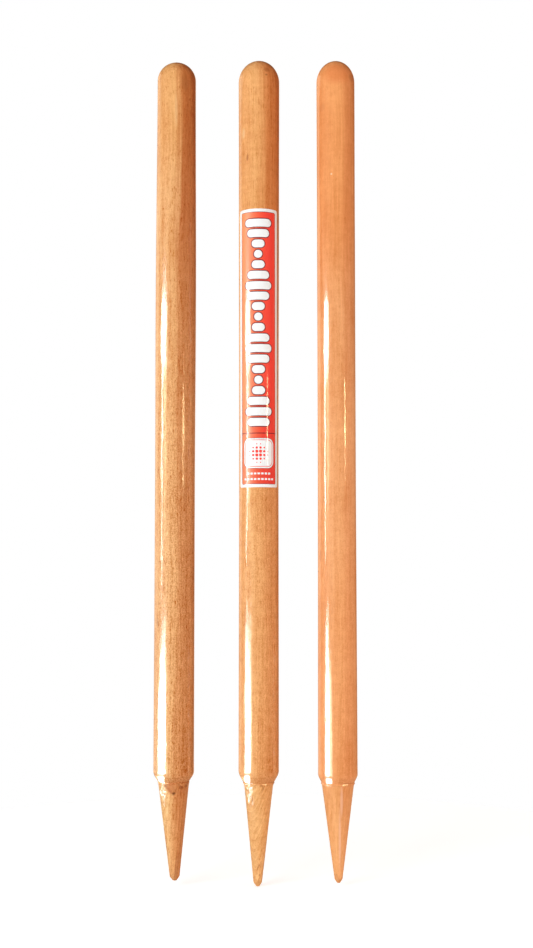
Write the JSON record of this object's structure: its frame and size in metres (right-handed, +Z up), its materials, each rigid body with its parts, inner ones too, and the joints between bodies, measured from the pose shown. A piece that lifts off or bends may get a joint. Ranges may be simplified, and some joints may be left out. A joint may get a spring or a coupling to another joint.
{
  "type": "cricket stumps",
  "caption": "Set of turned wooden cricket stumps with domed heads and tapered ground spikes, with a printed label wrapped round the middle stump.",
  "frame": {"origin": "on the middle stump's axis at ground level, where its spike leaves the shoulder", "axes": "+Z up along the stumps, +X to the right along the row as seen from the label's side, -Y towards the viewer of the label"},
  "size_m": [0.1976, 0.0408, 0.8095],
  "materials": {
    "left_wood": "olive-brown hardwood under clear gloss varnish",
    "middle_wood": "golden-brown hardwood under clear gloss varnish",
    "right_wood": "reddish hardwood under clear gloss varnish",
    "label_film": "gloss printed self-adhesive film, red and orange with a white border"
  },
  "bodies": {
    "middle": {"middle_stump": "middle_wood", "label": "label_film"},
    "left": {"left_stump": "left_wood"},
    "right": {"right_stump": "right_wood"}
  },
  "joints": [
    {"name": "left_pull", "type": "slide", "parent": "middle", "child": "left", "axis": [0, 0, 1], "range_m": [0, 0.0928]},
    {"name": "right_pull", "type": "slide", "parent": "middle", "child": "right", "axis": [0, 0, 1], "range_m": [0, 0.0952]}
  ]
}
